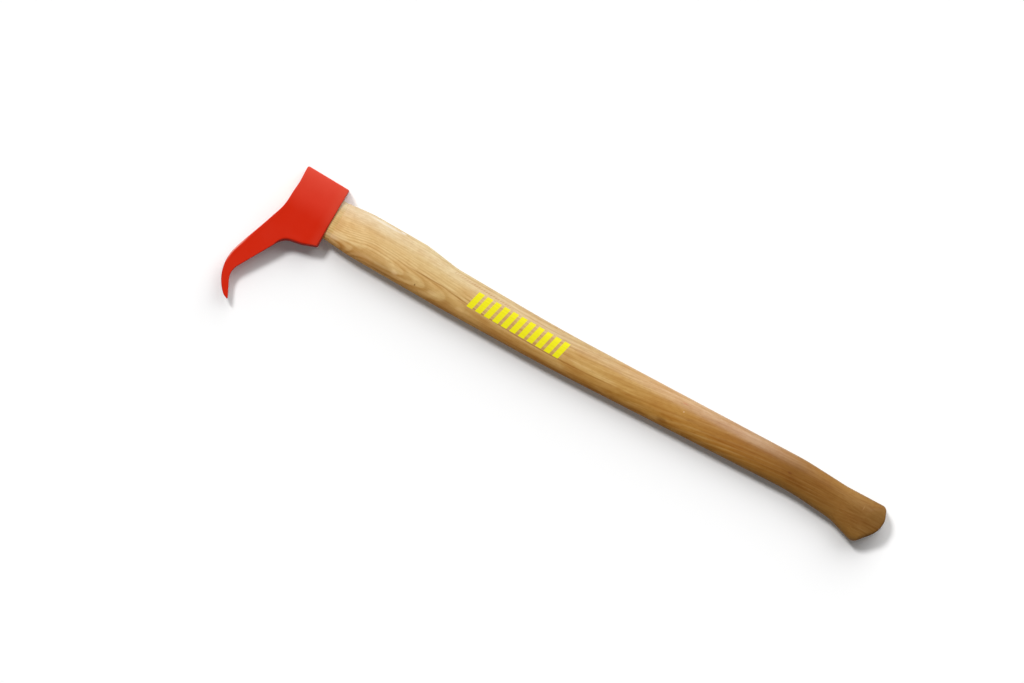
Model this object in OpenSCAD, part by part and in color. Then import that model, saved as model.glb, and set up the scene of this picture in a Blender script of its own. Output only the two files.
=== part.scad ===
// Forest sappie: a log hook with a forged beak head, wedged on an ash handle.
//
// The tool lies on its side on the plane z = 0. The origin is on the lower
// cheek of the head, straight below the middle of the eye. +X runs along the
// eye from the handle towards the crown of the head, +Y runs towards the tip
// of the beak, and +Z is up. All sizes are in millimetres.

/* [Head] */
// Height of the head at the eye, measured along the handle
eye_height = 56; // [46:1:66]
// Length of the eye where the handle enters, across the handle, before its poll end is eased
eye_length = 53; // [48:0.5:56]
// Ease of the eye's poll end where the handle enters, which runs out at the crown
eye_ease = 1.6; // [0:0.2:3]
// Width of the eye where the handle enters
eye_width = 24; // [21:0.5:27]
// Growth of the eye's length and width from the handle side to the crown
eye_flare = 3; // [1:0.5:4]
// Steel on each side of the eye at the crown
cheek_wall = 4; // [3:0.25:6]
// Steel behind the eye, at the poll
poll_wall = 12.5; // [8:0.5:18]
// Steel in front of the eye, at the handle side
belly_wall = 11.5; // [8:0.5:15]
// Thickness of the head at the back of the poll
poll_thick = 30; // [24:0.5:33]
// Radius of the corners of the poll, seen along the handle
poll_radius = 7; // [2:0.5:10]
// End of the flat of the cheek behind the axis of the eye, before it is blended
land_back = 26; // [18:0.5:30]
// End of the flat of the cheek in front of the axis of the eye, before it is blended
land_front = 22; // [14:0.5:28]
// Radius of the corners of the socket in side view
corner_radius = 3; // [1:0.5:6]

/* [Beak] */
// Reach of the corner that the tip is rounded from, measured from the axis of the eye
tip_reach = 145.5; // [130:0.5:165]
// Place of that corner ahead of the crown
tip_ahead = 4.5; // [0:0.5:10]
// Thickness of the beak at its tip
tip_thick = 5; // [3:0.25:8]
// Radius of the tip in side view
tip_radius = 1; // [0.5:0.25:2]
// Corner where the outer edge turns in to the tip, back from the tip
nose_back = 3; // [2:0.5:5]
// Corner where the outer edge turns in to the tip, ahead of the tip
nose_ahead = 7; // [5:0.5:9]
// Radius of that turn
nose_radius = 8; // [2:0.5:14]
// Corner of the inner bend, back from the tip
bend_back = 31; // [27:0.5:35]
// Corner of the inner bend, ahead of the crown
bend_ahead = 19.5; // [16:0.5:22]
// Radius of the inner bend
bend_radius = 21; // [8:0.5:26]
// Thickness of the beak at the bend
bend_thick = 11; // [8:0.5:14]
// Corner of the outer knee, back from the tip
knee_back = 25.5; // [21:0.5:29]
// Corner of the outer knee, ahead of the crown
knee_ahead = 37.5; // [33:0.5:41]
// Radius of the outer knee
knee_radius = 60; // [40:1:80]
// Corner of the swell of the belly, on from the handle side
swell_on = 17; // [12:0.5:22]
// Corner of that swell, beyond the belly of the socket
swell_rise = 7; // [5:0.5:9]
// Radius of that swell
swell_radius = 45; // [20:1:60]
// Corner of the throat, beyond the belly of the socket
throat_rise = 11.5; // [9.5:0.5:16]
// Corner of the throat, below the crown
throat_below = 17; // [13:0.5:21]
// Radius of the throat
throat_radius = 22; // [10:0.5:26]
// Thickness of the beak at the throat
throat_thick = 24.5; // [20:0.5:30]
// Place where the crown starts to rise, in front of the axis of the eye
crown_break = 11; // [4:0.5:18]
// Radius of that rise
crown_radius = 65; // [20:1:80]
// Radius that blends the cheeks into the poll and the beak
cheek_radius = 50; // [20:1:80]

/* [Handle] */
// Overall length of the handle, from its end in the eye to its butt
handle_length = 800; // [700:5:1000]
// Depth of the handle's end below the crown
end_inset = 0.5; // [0:0.25:2]
// Milled tenon that shows below the head
tenon_show = 8; // [3:0.5:14]
// Step from the milled tenon up to the wood of the shoulder
tenon_step = 0.4; // [0.2:0.1:1]
// Width of the shoulder
shoulder_width = 57.5; // [55:0.5:62]
// Thickness of the shoulder
shoulder_thick = 30; // [27:0.5:34]
// Start of the full shoulder, below the head
shoulder_at = 40; // [30:1:60]
// End of the full shoulder, below the head
shoulder_end = 114; // [95:1:130]
// Start of the neck, below the head
neck_at = 158; // [145:1:175]
// Width of the neck
neck_width = 51.5; // [48:0.5:55]
// Offset of the neck towards the beak
neck_offset = 3; // [0:0.2:5]
// Start of the sweep to the grip, below the head
sweep_at = 298; // [240:1:350]
// Width of the handle where the sweep starts
sweep_width = 47.5; // [45:0.5:51]
// Offset of the handle towards the beak where the sweep starts
sweep_offset = 2.4; // [0:0.2:6]
// Thickness of the handle where the sweep starts
sweep_thick = 29; // [26:0.5:32]
// Width of the grip
grip_width = 42; // [38:0.5:45]
// Thickness of the grip
grip_thick = 28; // [25:0.5:31]
// Offset of the grip away from the beak
grip_offset = 11.5; // [6:0.5:16]
// Middle of the grip, up from the butt
grip_from_butt = 116; // [95:1:140]
// Start of the flare of the knob, up from the butt
flare_from_butt = 58; // [48:1:68]
// Width of the handle where the flare starts
flare_width = 43.5; // [40:0.5:48]
// Offset of the flare away from the beak
flare_offset = 8.2; // [4:0.2:12]
// Widest place of the knob, up from the butt
knob_from_butt = 21.5; // [20:0.5:30]
// Width of the knob
knob_width = 57; // [52:0.5:62]
// Thickness of the knob
knob_thick = 35; // [31:0.5:38]
// Offset of the knob away from the beak
knob_offset = 3.7; // [0:0.1:8]
// Offset of the peak of the rounded butt away from the beak
butt_offset = 13.8; // [8:0.2:18]
// Corner of the slanted end, from the peak of the butt towards the beak
butt_slant = 11; // [4:0.5:16]

/* [Blends] */
// Radius of the swell from the tenon to the shoulder
shoulder_blend = 150; // [60:5:250]
// Radius of the step from the shoulder down to the neck
neck_blend = 60; // [30:1:90]
// Radius of the bow where the sweep starts
sweep_blend = 2500; // [1000:100:4000]
// Radius of the bow at the grip
grip_blend = 300; // [100:10:600]
// Radius of the start of the flare
flare_blend = 60; // [30:1:100]
// Radius of the pointed corner of the knob
knob_blend = 7; // [3:0.5:12]
// Radius where the sides of the knob level out
side_blend = 17; // [10:0.5:22]
// Radius of the rounded butt towards the back
butt_back_blend = 14.5; // [10:0.5:17]
// Radius of the rounded butt towards the belly
butt_belly_blend = 30; // [15:1:40]
// Radius of the edge round the butt
butt_edge = 3; // [1:0.25:8]

/* [Wedges] */
// Thickness of the wooden wedge at the end of the handle
wedge_thick = 6; // [4:0.25:8]
// Thickness of the wooden wedge at its buried edge
wedge_edge = 1.2; // [0.8:0.1:2]
// Depth of the wooden wedge in the handle
wedge_depth = 42; // [32:1:48]
// Outer diameter of the ring wedge at its driven face
ring_diameter = 19; // [15:0.5:21]
// Wall of the ring wedge at its driven face
ring_wall = 2.4; // [1.6:0.1:3]
// Wall of the ring wedge at its cutting edge
ring_edge = 0.8; // [0.5:0.1:1.2]
// Length of the ring wedge
ring_length = 20; // [14:0.5:24]
// Gap left between pieces that are driven together
fit_gap = 0.1; // [0.05:0.05:0.2]

/* [Hidden] */

// Colours as the pieces look
paint_red = [0.82, 0.17, 0.09];
ash_wood = [0.80, 0.62, 0.38];
wedge_wood = [0.55, 0.38, 0.22];
bare_steel = [0.62, 0.63, 0.64];

// Squareness of the oval sections: 2 is an ellipse, and more is squarer
tenon_square = 3;
shoulder_square = 2.9;
grip_square = 2.5;
knob_square = 3.2;
butt_square = 8;

// Fineness of the round stretches
arc_steps = 10;
oval_sides = 28;
shaft_rings = 46;
butt_rings = 14;
// Share of the butt's length where the last ring stands, just short of its peak
last_ring = 0.999;
// Room by which a cutting shape passes the face that it opens
cut_past = 5;
$fn = 64;

// Places along the eye
crown_x = eye_height / 2;
face_x = -eye_height / 2;
poll_y = -(eye_length / 2 + poll_wall);
belly_y = eye_length / 2 + belly_wall;

// Height of the middle plane, with the lower cheek on z = 0
head_thick = eye_width + eye_flare + 2 * cheek_wall;
middle_z = head_thick / 2;

// Distances down the handle from the handle side of the head
end_at = end_inset - eye_height;
butt_at = handle_length + end_at;
grip_at = butt_at - grip_from_butt;
flare_at = butt_at - flare_from_butt;
knob_at = butt_at - knob_from_butt;
collar_at = tenon_show + tenon_step;

// Lengths and turns below this count as none
tiny = 0.001;

// Small vector helpers
function unit(v) = v / norm(v);
function turned(v, angle) = [v.x * cos(angle) - v.y * sin(angle), v.x * sin(angle) + v.y * cos(angle)];
function signed_turn(a, b, c) = let (u = b - a, w = c - b) atan2(u.x * w.y - u.y * w.x, u * w);

// The arc that rounds corner b between a and c, starting a tangent length away from b
function corner_arc(a, b, c, tangent) =
    let (turn = signed_turn(a, b, c), start = b - unit(b - a) * tangent)
    tangent < tiny || abs(turn) < tiny ? [b] :
    let (
        radius = tangent / tan(abs(turn) / 2),
        centre = start + turned(unit(b - a), sign(turn) * 90) * radius
    )
    [for (i = [0:arc_steps]) centre + turned(start - centre, turn * i / arc_steps)];

// An outline through corners [x, y, radius]. Two arcs that would meet on one edge share that edge.
function rounded(corners, closed = true) =
    let (
        n = len(corners),
        flat = [for (c = corners) [c.x, c.y]],
        before = [for (i = [0:n - 1]) flat[(i + n - 1) % n]],
        after = [for (i = [0:n - 1]) flat[(i + 1) % n]],
        inner = [for (i = [0:n - 1]) closed || (i > 0 && i < n - 1)],
        wanted = [for (i = [0:n - 1])
            inner[i] ? corners[i].z * tan(abs(signed_turn(before[i], flat[i], after[i])) / 2) : 0],
        share = [for (i = [0:n - 1])
            min(1, norm(after[i] - flat[i]) / max(tiny, wanted[i] + wanted[(i + 1) % n]))]
    )
    [for (i = [0:n - 1])
        each corner_arc(before[i], flat[i], after[i], wanted[i] * min(share[i], share[(i + n - 1) % n]))];

// Side view of the head: the socket and the swell of its belly, then the throat, the beak and its knee
head_side = rounded([
    [crown_x, poll_y, corner_radius],
    [face_x, poll_y, corner_radius],
    [face_x, belly_y, corner_radius],
    [face_x + swell_on, belly_y + swell_rise, swell_radius],
    [crown_x - throat_below, belly_y + throat_rise, throat_radius],
    [crown_x + bend_ahead, tip_reach - bend_back, bend_radius],
    [crown_x + tip_ahead, tip_reach, tip_radius],
    [crown_x + tip_ahead + nose_ahead, tip_reach - nose_back, nose_radius],
    [crown_x + knee_ahead, tip_reach - knee_back, knee_radius],
    [crown_x, crown_break, crown_radius]
]);

// View of the head along the handle: half of its thickness against its reach
cheek_corners = [
    [poll_y, poll_thick / 2, poll_radius],
    [-land_back, head_thick / 2, cheek_radius],
    [land_front, head_thick / 2, cheek_radius],
    [belly_y + throat_rise, throat_thick / 2, cheek_radius],
    [tip_reach - bend_back, bend_thick / 2, cheek_radius],
    [tip_reach, tip_thick / 2, 0]
];
head_plan = rounded(concat(
    cheek_corners,
    [for (i = [len(cheek_corners) - 1:-1:0]) [cheek_corners[i].x, -cheek_corners[i].y, cheek_corners[i].z]]
));

// Back edge of the handle, on the poll's side, as [distance down the handle, y]
back_line = rounded([
    [collar_at, eye_ease - eye_length / 2 - tenon_step, 0],
    [shoulder_at, -shoulder_width / 2, shoulder_blend],
    [shoulder_end, -shoulder_width / 2, neck_blend],
    [neck_at, neck_offset - neck_width / 2, neck_blend],
    [sweep_at, sweep_offset - sweep_width / 2, sweep_blend],
    [grip_at, -grip_offset - grip_width / 2, grip_blend],
    [flare_at, -flare_offset - flare_width / 2, flare_blend],
    [butt_at, -knob_offset - knob_width / 2, butt_back_blend],
    [butt_at, -butt_offset, 0]
], closed = false);

// Belly edge of the handle, on the beak's side
belly_line = rounded([
    [collar_at, eye_length / 2 + tenon_step, 0],
    [shoulder_at, shoulder_width / 2, shoulder_blend],
    [neck_at, neck_offset + neck_width / 2, grip_blend],
    [sweep_at, sweep_offset + sweep_width / 2, sweep_blend],
    [grip_at, -grip_offset + grip_width / 2, grip_blend],
    [flare_at, -flare_offset + flare_width / 2, flare_blend],
    [knob_at, -knob_offset + knob_width / 2, knob_blend],
    [butt_at, butt_slant - butt_offset, butt_belly_blend],
    [butt_at, -butt_offset, 0]
], closed = false);

// Half of the handle's thickness
side_line = rounded([
    [collar_at, eye_width / 2 + tenon_step, 0],
    [shoulder_at, shoulder_thick / 2, shoulder_blend],
    [shoulder_end, shoulder_thick / 2, grip_blend],
    [sweep_at, sweep_thick / 2, sweep_blend],
    [grip_at, grip_thick / 2, grip_blend],
    [flare_at, grip_thick / 2, flare_blend],
    [knob_at, knob_thick / 2, side_blend],
    [butt_at, knob_thick / 2, butt_edge],
    [butt_at, 0, 0]
], closed = false);

// Squareness of the handle's sections along it
shaft_square = [
    [shoulder_at, shoulder_square],
    [sweep_at, grip_square],
    [flare_at, grip_square],
    [knob_at, knob_square],
    [butt_at, butt_square]
];

// Points of an oval section
function oval(half_y, half_z, square) =
    [for (i = [0:oval_sides - 1])
        let (c = cos(360 * i / oval_sides), s = sin(360 * i / oval_sides))
        [half_y * sign(c) * pow(abs(c), 2 / square), half_z * sign(s) * pow(abs(s), 2 / square)]];

// An oval ring across the handle, between its back and its belly
function ring_at(at, back, belly, half_z, square) =
    let (middle_y = (back + belly) / 2)
    [for (p = oval((belly - back) / 2, half_z, square)) [face_x - at, middle_y + p.x, middle_z + p.y]];

// A ring of the eye, or of the tenon that fills it with a gap all round
function eye_ring(at, gap) =
    let (
        share = max(0, -at) / eye_height,
        grown = eye_flare * share / 2 - gap,
        eased = eye_ease * max(0, 1 - share)
    )
    ring_at(at, eased - eye_length / 2 - grown, eye_length / 2 + grown, eye_width / 2 + grown, tenon_square);

// A ring of the handle below its tenon
function shaft_ring(at) =
    ring_at(at, lookup(at, back_line), lookup(at, belly_line), lookup(at, side_line),
        lookup(at, shaft_square));

// A closed skin over rings that have equal numbers of points
module skin(rings) {
    n = len(rings[0]);
    last = len(rings) - 1;
    sides = [for (i = [0:last - 1], j = [0:n - 1])
        let (a = i * n + j, b = i * n + (j + 1) % n)
        each [[a, b + n, a + n], [a, b, b + n]]];
    caps = [[for (j = [n - 1:-1:0]) j], [for (j = [0:n - 1]) last * n + j]];
    polyhedron(points = [for (r = rings) each r], faces = concat(sides, caps));
}

// The tenon of the handle, from its end in the eye to just below the head
function tenon_rings() = [for (at = [end_at, 0, tenon_show]) eye_ring(at, fit_gap)];

// The handle below the tenon, with its rings closer together towards the butt
function shaft_rings() = concat(
    [for (i = [0:shaft_rings]) shaft_ring(collar_at + (knob_at - collar_at) * i / shaft_rings)],
    [for (i = [1:butt_rings])
        shaft_ring(knob_at + (butt_at - knob_at) * last_ring * sin(90 * i / butt_rings))]
);

// A wedge-shaped slab along the eye, grown all round by a gap
module wedge_slab(gap) {
    end_x = face_x - end_at;
    half_end = wedge_thick / 2 + gap;
    half_edge = wedge_edge / 2 + gap;
    translate([0, eye_length, middle_z])
        rotate([90, 0, 0])
            linear_extrude(2 * eye_length)
                polygon([
                    [end_x + gap, half_end],
                    [end_x + gap, -half_end],
                    [end_x - wedge_depth - gap, -half_edge],
                    [end_x - wedge_depth - gap, half_edge]
                ]);
}

// The ring wedge's wall, thinner towards its cutting edge, grown all round by a gap
module ring_wall_solid(gap) {
    outer = ring_diameter / 2;
    middle = outer - ring_wall / 2;
    translate([face_x - end_at, 0, middle_z])
        rotate([0, -90, 0])
            rotate_extrude()
                polygon([
                    [outer + gap, -gap],
                    [middle + ring_edge / 2 + gap, ring_length + gap],
                    [middle - ring_edge / 2 - gap, ring_length + gap],
                    [outer - ring_wall - gap, -gap]
                ]);
}

module head() {
    color(paint_red) difference() {
        intersection() {
            linear_extrude(head_thick)
                polygon(head_side);
            translate([face_x - cut_past, 0, middle_z])
                rotate([90, 0, 90])
                    linear_extrude(eye_height + knee_ahead + 2 * cut_past)
                        polygon(head_plan);
        }
        skin([for (at = [-eye_height - knee_ahead, -eye_height, 0, cut_past]) eye_ring(at, 0)]);
    }
}

module handle() {
    color(ash_wood) difference() {
        skin(concat(tenon_rings(), shaft_rings()));
        wedge_slab(fit_gap);
        ring_wall_solid(fit_gap);
    }
}

module wooden_wedge() {
    color(wedge_wood) difference() {
        intersection() {
            skin(tenon_rings());
            wedge_slab(0);
        }
        ring_wall_solid(fit_gap);
    }
}

module ring_wedge() {
    color(bare_steel) ring_wall_solid(0);
}

head();
handle();
wooden_wedge();
ring_wedge();
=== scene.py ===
"""The looks of a forest log hook: a red forged beak head, wedged on a lacquered ash handle."""

import math
from collections import namedtuple

import bmesh
import bpy
from mathutils import Matrix, Vector
from mathutils.geometry import delaunay_2d_cdt


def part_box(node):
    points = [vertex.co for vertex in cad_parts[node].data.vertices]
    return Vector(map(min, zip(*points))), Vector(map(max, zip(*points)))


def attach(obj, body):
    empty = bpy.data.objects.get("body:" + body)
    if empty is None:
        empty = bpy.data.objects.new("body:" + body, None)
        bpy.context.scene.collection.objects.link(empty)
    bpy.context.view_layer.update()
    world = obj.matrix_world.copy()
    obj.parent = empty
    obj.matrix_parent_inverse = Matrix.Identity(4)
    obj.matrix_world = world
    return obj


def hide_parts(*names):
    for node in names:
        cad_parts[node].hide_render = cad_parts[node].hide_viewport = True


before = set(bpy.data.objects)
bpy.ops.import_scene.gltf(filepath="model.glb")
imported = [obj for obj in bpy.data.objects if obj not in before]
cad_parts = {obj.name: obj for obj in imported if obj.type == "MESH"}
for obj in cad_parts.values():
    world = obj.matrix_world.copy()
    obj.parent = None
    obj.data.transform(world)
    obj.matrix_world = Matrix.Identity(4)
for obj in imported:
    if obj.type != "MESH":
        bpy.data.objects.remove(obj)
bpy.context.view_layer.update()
MM = 0.001

# Places that come from the frame
HEAD_LOW, HEAD_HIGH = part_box("head")
HANDLE_LOW, HANDLE_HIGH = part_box("handle")
END_X = HANDLE_HIGH.x
FACE_X = HEAD_LOW.x
CROWN_X = -FACE_X
POLL_Y = HEAD_LOW.y
MIDDLE_Z = (HEAD_LOW.z + HEAD_HIGH.z) / 2
HALF_THICK = (HEAD_HIGH.z - HEAD_LOW.z) / 2
EYE_HEIGHT = CROWN_X - FACE_X

# The eye, and the tenon that fills it
EYE_LENGTH = 53 * MM
EYE_WIDTH = 24 * MM
EYE_FLARE = 3 * MM
EYE_EASE = 1.6 * MM
CROWN_CHAMFER = 0.8 * MM
FACE_CHAMFER = 0.2 * MM
FIT_GAP = 0.1 * MM
CUT_PAST = 4 * MM
CROWN_CUT_PAST = 20 * MM
TENON_SQUARE = 3.0

# Side view of the head, as corners of x, y, radius and width of the rounded edge there
THROAT = Vector((10.8, 50)) * MM
BEND = Vector((47.5, 114.3)) * MM
HEAD_CORNERS = [
    (CROWN_X + 0.5 * MM, POLL_Y - 0.9 * MM, 2.4 * MM, 0.4 * MM),
    (FACE_X - 0.2 * MM, POLL_Y + 0.1 * MM, 2 * MM, 0.3 * MM),
    (FACE_X - 1 * MM, 38.8 * MM, 2.6 * MM, 2.8 * MM),
    (-11 * MM, 45.8 * MM, 45 * MM, 3.6 * MM),
    (*THROAT, 22 * MM, 4.0 * MM),
    (*THROAT.lerp(BEND, 0.19), 0, 0.5 * MM),
    (*BEND, 21 * MM, 0.6 * MM),
    (32.2 * MM, 145.6 * MM, 0.8 * MM, 0.4 * MM),
    (39.5 * MM, 142.5 * MM, 8 * MM, 0.5 * MM),
    (65.3 * MM, 118.9 * MM, 52 * MM, 1.8 * MM),
    (50.7 * MM, 73.5 * MM, 200 * MM, 2.4 * MM),
    (40.2 * MM, 45.3 * MM, 300 * MM, 0.8 * MM),
    (CROWN_X + 1.5 * MM, 14 * MM, 68 * MM, 0.8 * MM),
    (CROWN_X + 0.8 * MM, -6 * MM, 60 * MM, 0.4 * MM),
    (CROWN_X - 0.3 * MM, -17 * MM, 60 * MM, 0.4 * MM),
]

# The head's mesh: its steps, how square the rounded edges are, the way that the hollow under the beak faces,
# whose edges are darkened as painted shade, and the share of an edge's rise at which a highlight is painted
ARC_STEPS = 24
OUTLINE_STEP = 0.9 * MM
GRID_STEP = 2.4 * MM
EDGE_RINGS = 9
EDGE_SQUARE = 2.8
HOLLOW_SIDE = Vector((-0.34, 0.94))
HIGHLIGHT_AT = 0.68
HIGHLIGHT_REACH = 0.27

# How the cheeks fall away from their flat, towards the beak, the poll and the handle
BEND_FROM = -8 * MM
BEND_RUN = 20 * MM
BEAK_SLOPE = 0.107
POLL_FALL_FROM = -10 * MM
POLL_FALL = 1.3 * MM
FACE_FALL_FROM = -14 * MM
FACE_FALL = 1.5 * MM

# The handle, as distances down it from the handle side of the head
END_AT = FACE_X - END_X
BUTT_AT = FACE_X - HANDLE_LOW.x
TENON_SHOW = 8 * MM
TENON_STEP = 0.4 * MM
COLLAR_AT = TENON_SHOW + TENON_STEP
SHOULDER_AT = 40 * MM
SHOULDER_END = 114 * MM
NECK_AT = 158 * MM
SWEEP_AT = 298 * MM
GRIP_AT = BUTT_AT - 116 * MM
FLARE_AT = BUTT_AT - 58 * MM
KNOB_AT = BUTT_AT - 21.5 * MM
BUTT_Y = -13.8 * MM

# How square the handle's section is along it: 2 is an ellipse, and more is squarer
SQUARENESS = [
    (SHOULDER_AT, 2.9),
    (SWEEP_AT, 2.5),
    (FLARE_AT, 2.5),
    (KNOB_AT, 3.2),
    (BUTT_AT, 8),
]

# The handle's back, belly and half width, as corners of distance, place and radius
BACK_CORNERS = [
    (COLLAR_AT, EYE_EASE - EYE_LENGTH / 2 - TENON_STEP, 0),
    (SHOULDER_AT, -28.75 * MM, 150 * MM),
    (SHOULDER_END, -28.75 * MM, 60 * MM),
    (NECK_AT, -22.75 * MM, 60 * MM),
    (SWEEP_AT, -21.35 * MM, 2500 * MM),
    (GRIP_AT, -32.5 * MM, 300 * MM),
    (FLARE_AT, -29.95 * MM, 60 * MM),
    (BUTT_AT - 6.2 * MM, -31.7 * MM, 7 * MM),
    (BUTT_AT, -18 * MM, 25 * MM),
    (BUTT_AT, BUTT_Y, 0),
]
BELLY_CORNERS = [
    (COLLAR_AT, EYE_LENGTH / 2 + TENON_STEP, 0),
    (SHOULDER_AT, 28.75 * MM, 150 * MM),
    (NECK_AT, 28.75 * MM, 300 * MM),
    (SWEEP_AT, 26.15 * MM, 2500 * MM),
    (GRIP_AT, 9.5 * MM, 300 * MM),
    (FLARE_AT, 13.55 * MM, 60 * MM),
    (KNOB_AT, 24.8 * MM, 10 * MM),
    (BUTT_AT, BUTT_Y + 12.2 * MM, 31 * MM),
    (BUTT_AT, BUTT_Y, 0),
]
SIDE_CORNERS = [
    (COLLAR_AT, EYE_WIDTH / 2 + TENON_STEP, 0),
    (SHOULDER_AT, 15 * MM, 150 * MM),
    (SHOULDER_END, 15 * MM, 300 * MM),
    (SWEEP_AT, 14.5 * MM, 2500 * MM),
    (GRIP_AT, 14 * MM, 300 * MM),
    (FLARE_AT, 14 * MM, 60 * MM),
    (KNOB_AT, 17.5 * MM, 17 * MM),
    (BUTT_AT, 17.5 * MM, 3 * MM),
    (BUTT_AT, 0, 0),
]

# The handle's mesh: the points of a ring, the rings, and how near the butt the last of them lies
OVAL_SIDES = 96
SHAFT_RINGS = 300
BUTT_RINGS = 40
LAST_RING = 0.9995

# The wedges in the handle's end
WEDGE_THICK = 6 * MM
WEDGE_EDGE = 1.2 * MM
WEDGE_DEPTH = 42 * MM
RING_OUTER = 9.5 * MM
RING_WALL = 2.4 * MM
RING_EDGE = 0.8 * MM
RING_LENGTH = 20 * MM
RING_CHAMFER = 0.35 * MM
CHAMFER_STEPS = 3

# Edges stay crisp where they turn by more than these angles, in degrees
HEAD_CRISP = 75
HANDLE_CRISP = 30
RING_CRISP = 40

# Distances that count as nothing: no length at all, and points that are merged
NO_LENGTH = 1e-9
SAME_POINT = 1e-7
SAME_INK_POINT = 1e-6

# The yellow mark on the upper side of the handle: a row of plain slanted bars
MARK_AT = 253.3 * MM
MARK_Y = -0.5 * MM
BAR_COUNT = 11
BAR_PITCH = 11.7 * MM
BAR_WIDTH = 7.6 * MM
BAR_HEIGHT = 22 * MM
BAR_SLANT = 0.24
BAR_COLUMNS = 7
BAR_ROWS = 19
INK_FILM = 0.04 * MM
DROP_FROM = 0.2
DROP_REACH = 1.0

# The paint, in millimetres: where a painted sheen pales it towards the poll and the handle, and where a
# highlight is painted on the beak's outer edge
POLL_PALES_FROM = 14
POLL_PALES_OVER = 72
PALE_BY_HANDLE = (-13, -26)
HIGHLIGHT_SPAN = (62, 80, 96, 110)

# The wood, in millimetres: its growth rings lie about a pith that bows up under the upper side
UPPER_SIDE = 15
PITH_NEAR = 22
PITH_FAR = 13
PITH_CROSSES = (10, 60)
PITH_DEPTH = 10
PITH_PEAK = 62
PITH_BEND = 18
HEAD_SLOPE = 0.05
SHAFT_SLOPE = 0.085
PITH_LEVELS = 190
PITH_SINK = 0.019
RING_SPACING = 2.3
RING_WANDER = 1.8
RING_WAVER = 0.8
GRAIN_DRIFT = 39
GRAIN_DRIFTS = (250, 670)
CREASE_AT = 275
CREASE_TOP = 11.4
CREASE_BOW = 0.00045
CREASE_LEAST = 4.6
CREASE_SPAN = (90, 130, 360, 430)
PORE_ROW_FROM = 161
PORE_ROW_SPAN = (PORE_ROW_FROM - 8, PORE_ROW_FROM, 226, 246)
PORE_ROW_Y = -17.7
PORE_ROW_SLOPE = 0.05
PORE_ROW_PITCH = 3.3
UPPER_FROM = (6, 9)

# Where the wood's look changes: the distances down the handle, in millimetres, between which it does
SHEEN_THINS = (30, 120)
SHEEN_GROWS = (340, 500)
SHEEN_FADES = (560, 690)
CREAM_TO_SAND = (50, 140)
SAND_TO_HONEY = (540, 660)
RINGS_WEAKEN = (200, 420)
RINGS_FADE = (480, 620)
STREAKS_GROW = (120, 280)
BELLY_DARKENS = (8, 26)
BELLY_EASES = (150, 300)
BELLY_DARK_ENDS = (400, 540)
BELLY_LIFTS = (490, 560)
BACK_COOL_ENDS = (330, 440)
COAT_THINS = (540, 670)
TENON_BLUR = 0.4

# The wood's tone, which deepens down the handle, at shares of the way from the end in the head to the butt
ASH_TONES = [
    (0.0, (236, 200, 142)),
    (0.09, (234, 198, 140)),
    (0.24, (228, 199, 143)),
    (0.44, (214, 176, 112)),
    (0.55, (204, 163, 94)),
    (0.65, (190, 142, 70)),
    (0.75, (168, 117, 50)),
    (0.85, (137, 93, 39)),
    (0.93, (142, 101, 48)),
    (1.0, (126, 90, 44)),
]

# Small marks on the upper side, among them painted highlights on its upper edge: distance down, place across,
# length, width, strength and colour
WOOD_MARKS = [
    # a painted highlight along the upper edge at the shoulder
    (60.0, -25.6, 58, 4.0, 0.4, (252, 240, 218)),
    # a painted glint on the shoulder's edge, over a small pale chip
    (81.5, -27.2, 9, 2.6, 0.7, (252, 242, 226)),
    (88.0, -27.2, 4, 2.6, 0.6, (186, 140, 84)),
    (122.9, 19.4, 2, 3.4, 0.8, (128, 84, 36)),
    (53.7, 21.5, 36, 9.0, 0.35, (190, 132, 70)),
    (164.0, 19.0, 14, 7.0, 0.3, (170, 122, 68)),
    (94.5, 19.0, 11, 6.0, 0.5, (244, 214, 164)),
    (146.0, 17.6, 18, 6.0, 0.3, (240, 208, 150)),
    (183.6, 18.6, 14, 5.0, 0.3, (232, 196, 134)),
    (9.0, 18.5, 24, 7.5, 0.45, (236, 208, 168)),
    (80.0, 23.0, 44, 14.0, 0.35, (150, 102, 44)),
    (9.5, 1.0, 18, 24.0, 0.42, (204, 156, 96)),
    (18.0, 13.5, 28, 11.0, 0.35, (244, 216, 164)),
    (300.0, -14.5, 56, 8.0, 0.35, (192, 160, 112)),
    (473.9, -9.6, 1.7, 1.7, 0.7, (238, 214, 176)),
    (471.2, -19.0, 9, 2.4, 0.6, (176, 104, 58)),
    (456.4, 12.0, 20, 7.0, 0.5, (126, 76, 22)),
    (618.5, -9.8, 7, 4.0, 0.5, (110, 58, 20)),
    (615.2, 4.5, 24, 7.0, 0.3, (104, 62, 18)),
    (715.0, -17.3, 1.6, 7.0, 0.5, (166, 126, 80)),
]

# The view: straight down, with the picture's top turned towards the handle's back
VIEW_TURN = math.radians(210)
VIEW_CENTRE = (-0.2842, 0.0199)
VIEW_WIDTH = 1.2127
LENS = 300
SENSOR = 36

# The floor and the room: grey for light that bounces, near white where it is seen, and a dim ceiling
FLOOR_REACH = 40
FLOOR_DROP = 0.3 * MM
FLOOR_BOUNCE = 0.7
FLOOR_SEEN = 0.96
FLOOR_GLOW = 0.05
CEILING_DIMS = 0.88
CEILING_FROM = (0.05, 0.6)
ROOM_FILL = 0.1


def srgb(red, green, blue):
    """A colour given as it shows on a screen, from 0 to 255, as the linear colour that shaders take."""
    shares = [c / 255 for c in (red, green, blue)]
    return tuple(s / 12.92 if s <= 0.04045 else ((s + 0.055) / 1.055) ** 2.4 for s in shares) + (1.0,)


# Outlines


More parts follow.
